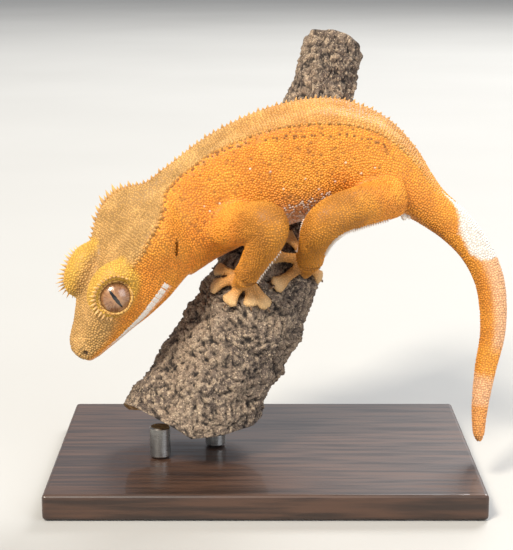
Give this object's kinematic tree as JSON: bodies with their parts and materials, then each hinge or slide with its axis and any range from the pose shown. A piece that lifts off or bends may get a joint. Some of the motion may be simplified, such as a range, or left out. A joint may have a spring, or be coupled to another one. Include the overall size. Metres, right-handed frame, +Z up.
{
  "type": "crested gecko display model on a perch",
  "caption": "Still, life-size crested gecko climbing head first down a cut length of bark-covered branch, held by a flat display base on short rods.",
  "frame": {"origin": "middle of the display base's underside", "axes": "+Z up, the animal's head toward -X, its left side toward -Y"},
  "size_m": [0.1076, 0.0873, 0.1047],
  "materials": {
    "skin_head": "fine granular scales, tan",
    "skin_body": "fine granular scales, orange",
    "skin_legs": "fine granular scales in rows, ochre orange",
    "eye": "clear wet gloss over a copper iris",
    "bark": "rough grey-brown bark",
    "stand_board": "dark stained, satin",
    "stand_steel": "brushed"
  },
  "bodies": {
    "root": {"head": "skin_head", "neck": "skin_body", "torso": "skin_body", "tail_root": "skin_body", "tail_middle": "skin_body", "tail_tip": "skin_body", "upper_arm_left": "skin_legs", "forearm_left": "skin_legs", "front_foot_left": "skin_legs", "upper_arm_right": "skin_legs", "forearm_right": "skin_legs", "front_foot_right": "skin_legs", "thigh_left": "skin_legs", "shank_left": "skin_legs", "hind_foot_left": "skin_legs", "thigh_right": "skin_legs", "shank_right": "skin_legs", "hind_foot_right": "skin_legs", "eye_left": "eye", "eye_right": "eye", "perch": "bark", "stand_base": "stand_board", "stand_rod_front": "stand_steel", "stand_rod_rear": "stand_steel"}
  },
  "joints": []
}
